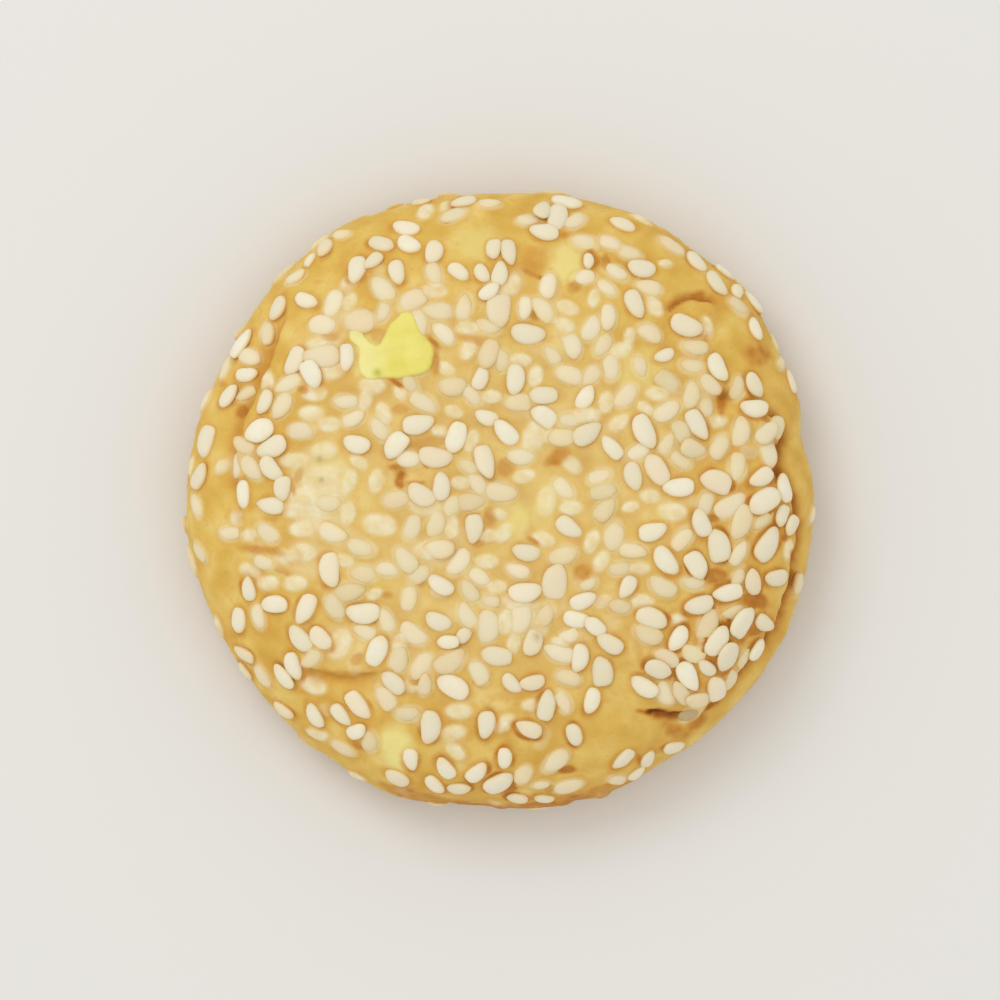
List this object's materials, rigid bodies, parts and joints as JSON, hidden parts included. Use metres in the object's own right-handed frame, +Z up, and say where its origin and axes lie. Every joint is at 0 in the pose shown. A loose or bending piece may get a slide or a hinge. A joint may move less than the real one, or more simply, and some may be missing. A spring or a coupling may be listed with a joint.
{
  "type": "sesame seed biscuit",
  "caption": "Round baked biscuit with a domed top, a rounded side and a flat underside, its top and side pressed full of hulled sesame seeds, one pale flake in the crust.",
  "frame": {"origin": "middle of the flat underside, on the surface that the biscuit rests on", "axes": "+Z up through the domed top; +X to the right and +Y away from a viewer who looks down on the top with the pale flake at the upper left"},
  "size_m": [0.0666, 0.0652, 0.0163],
  "materials": {
    "baked_crust": "dry golden baked dough with a slight sheen of fat, browner in the folds and underneath",
    "sesame_seed": "hulled sesame seed, smooth and cream white",
    "pale_flake": "smooth pale yellow flake"
  },
  "bodies": {
    "root": {"biscuit": "baked_crust"}
  },
  "joints": []
}
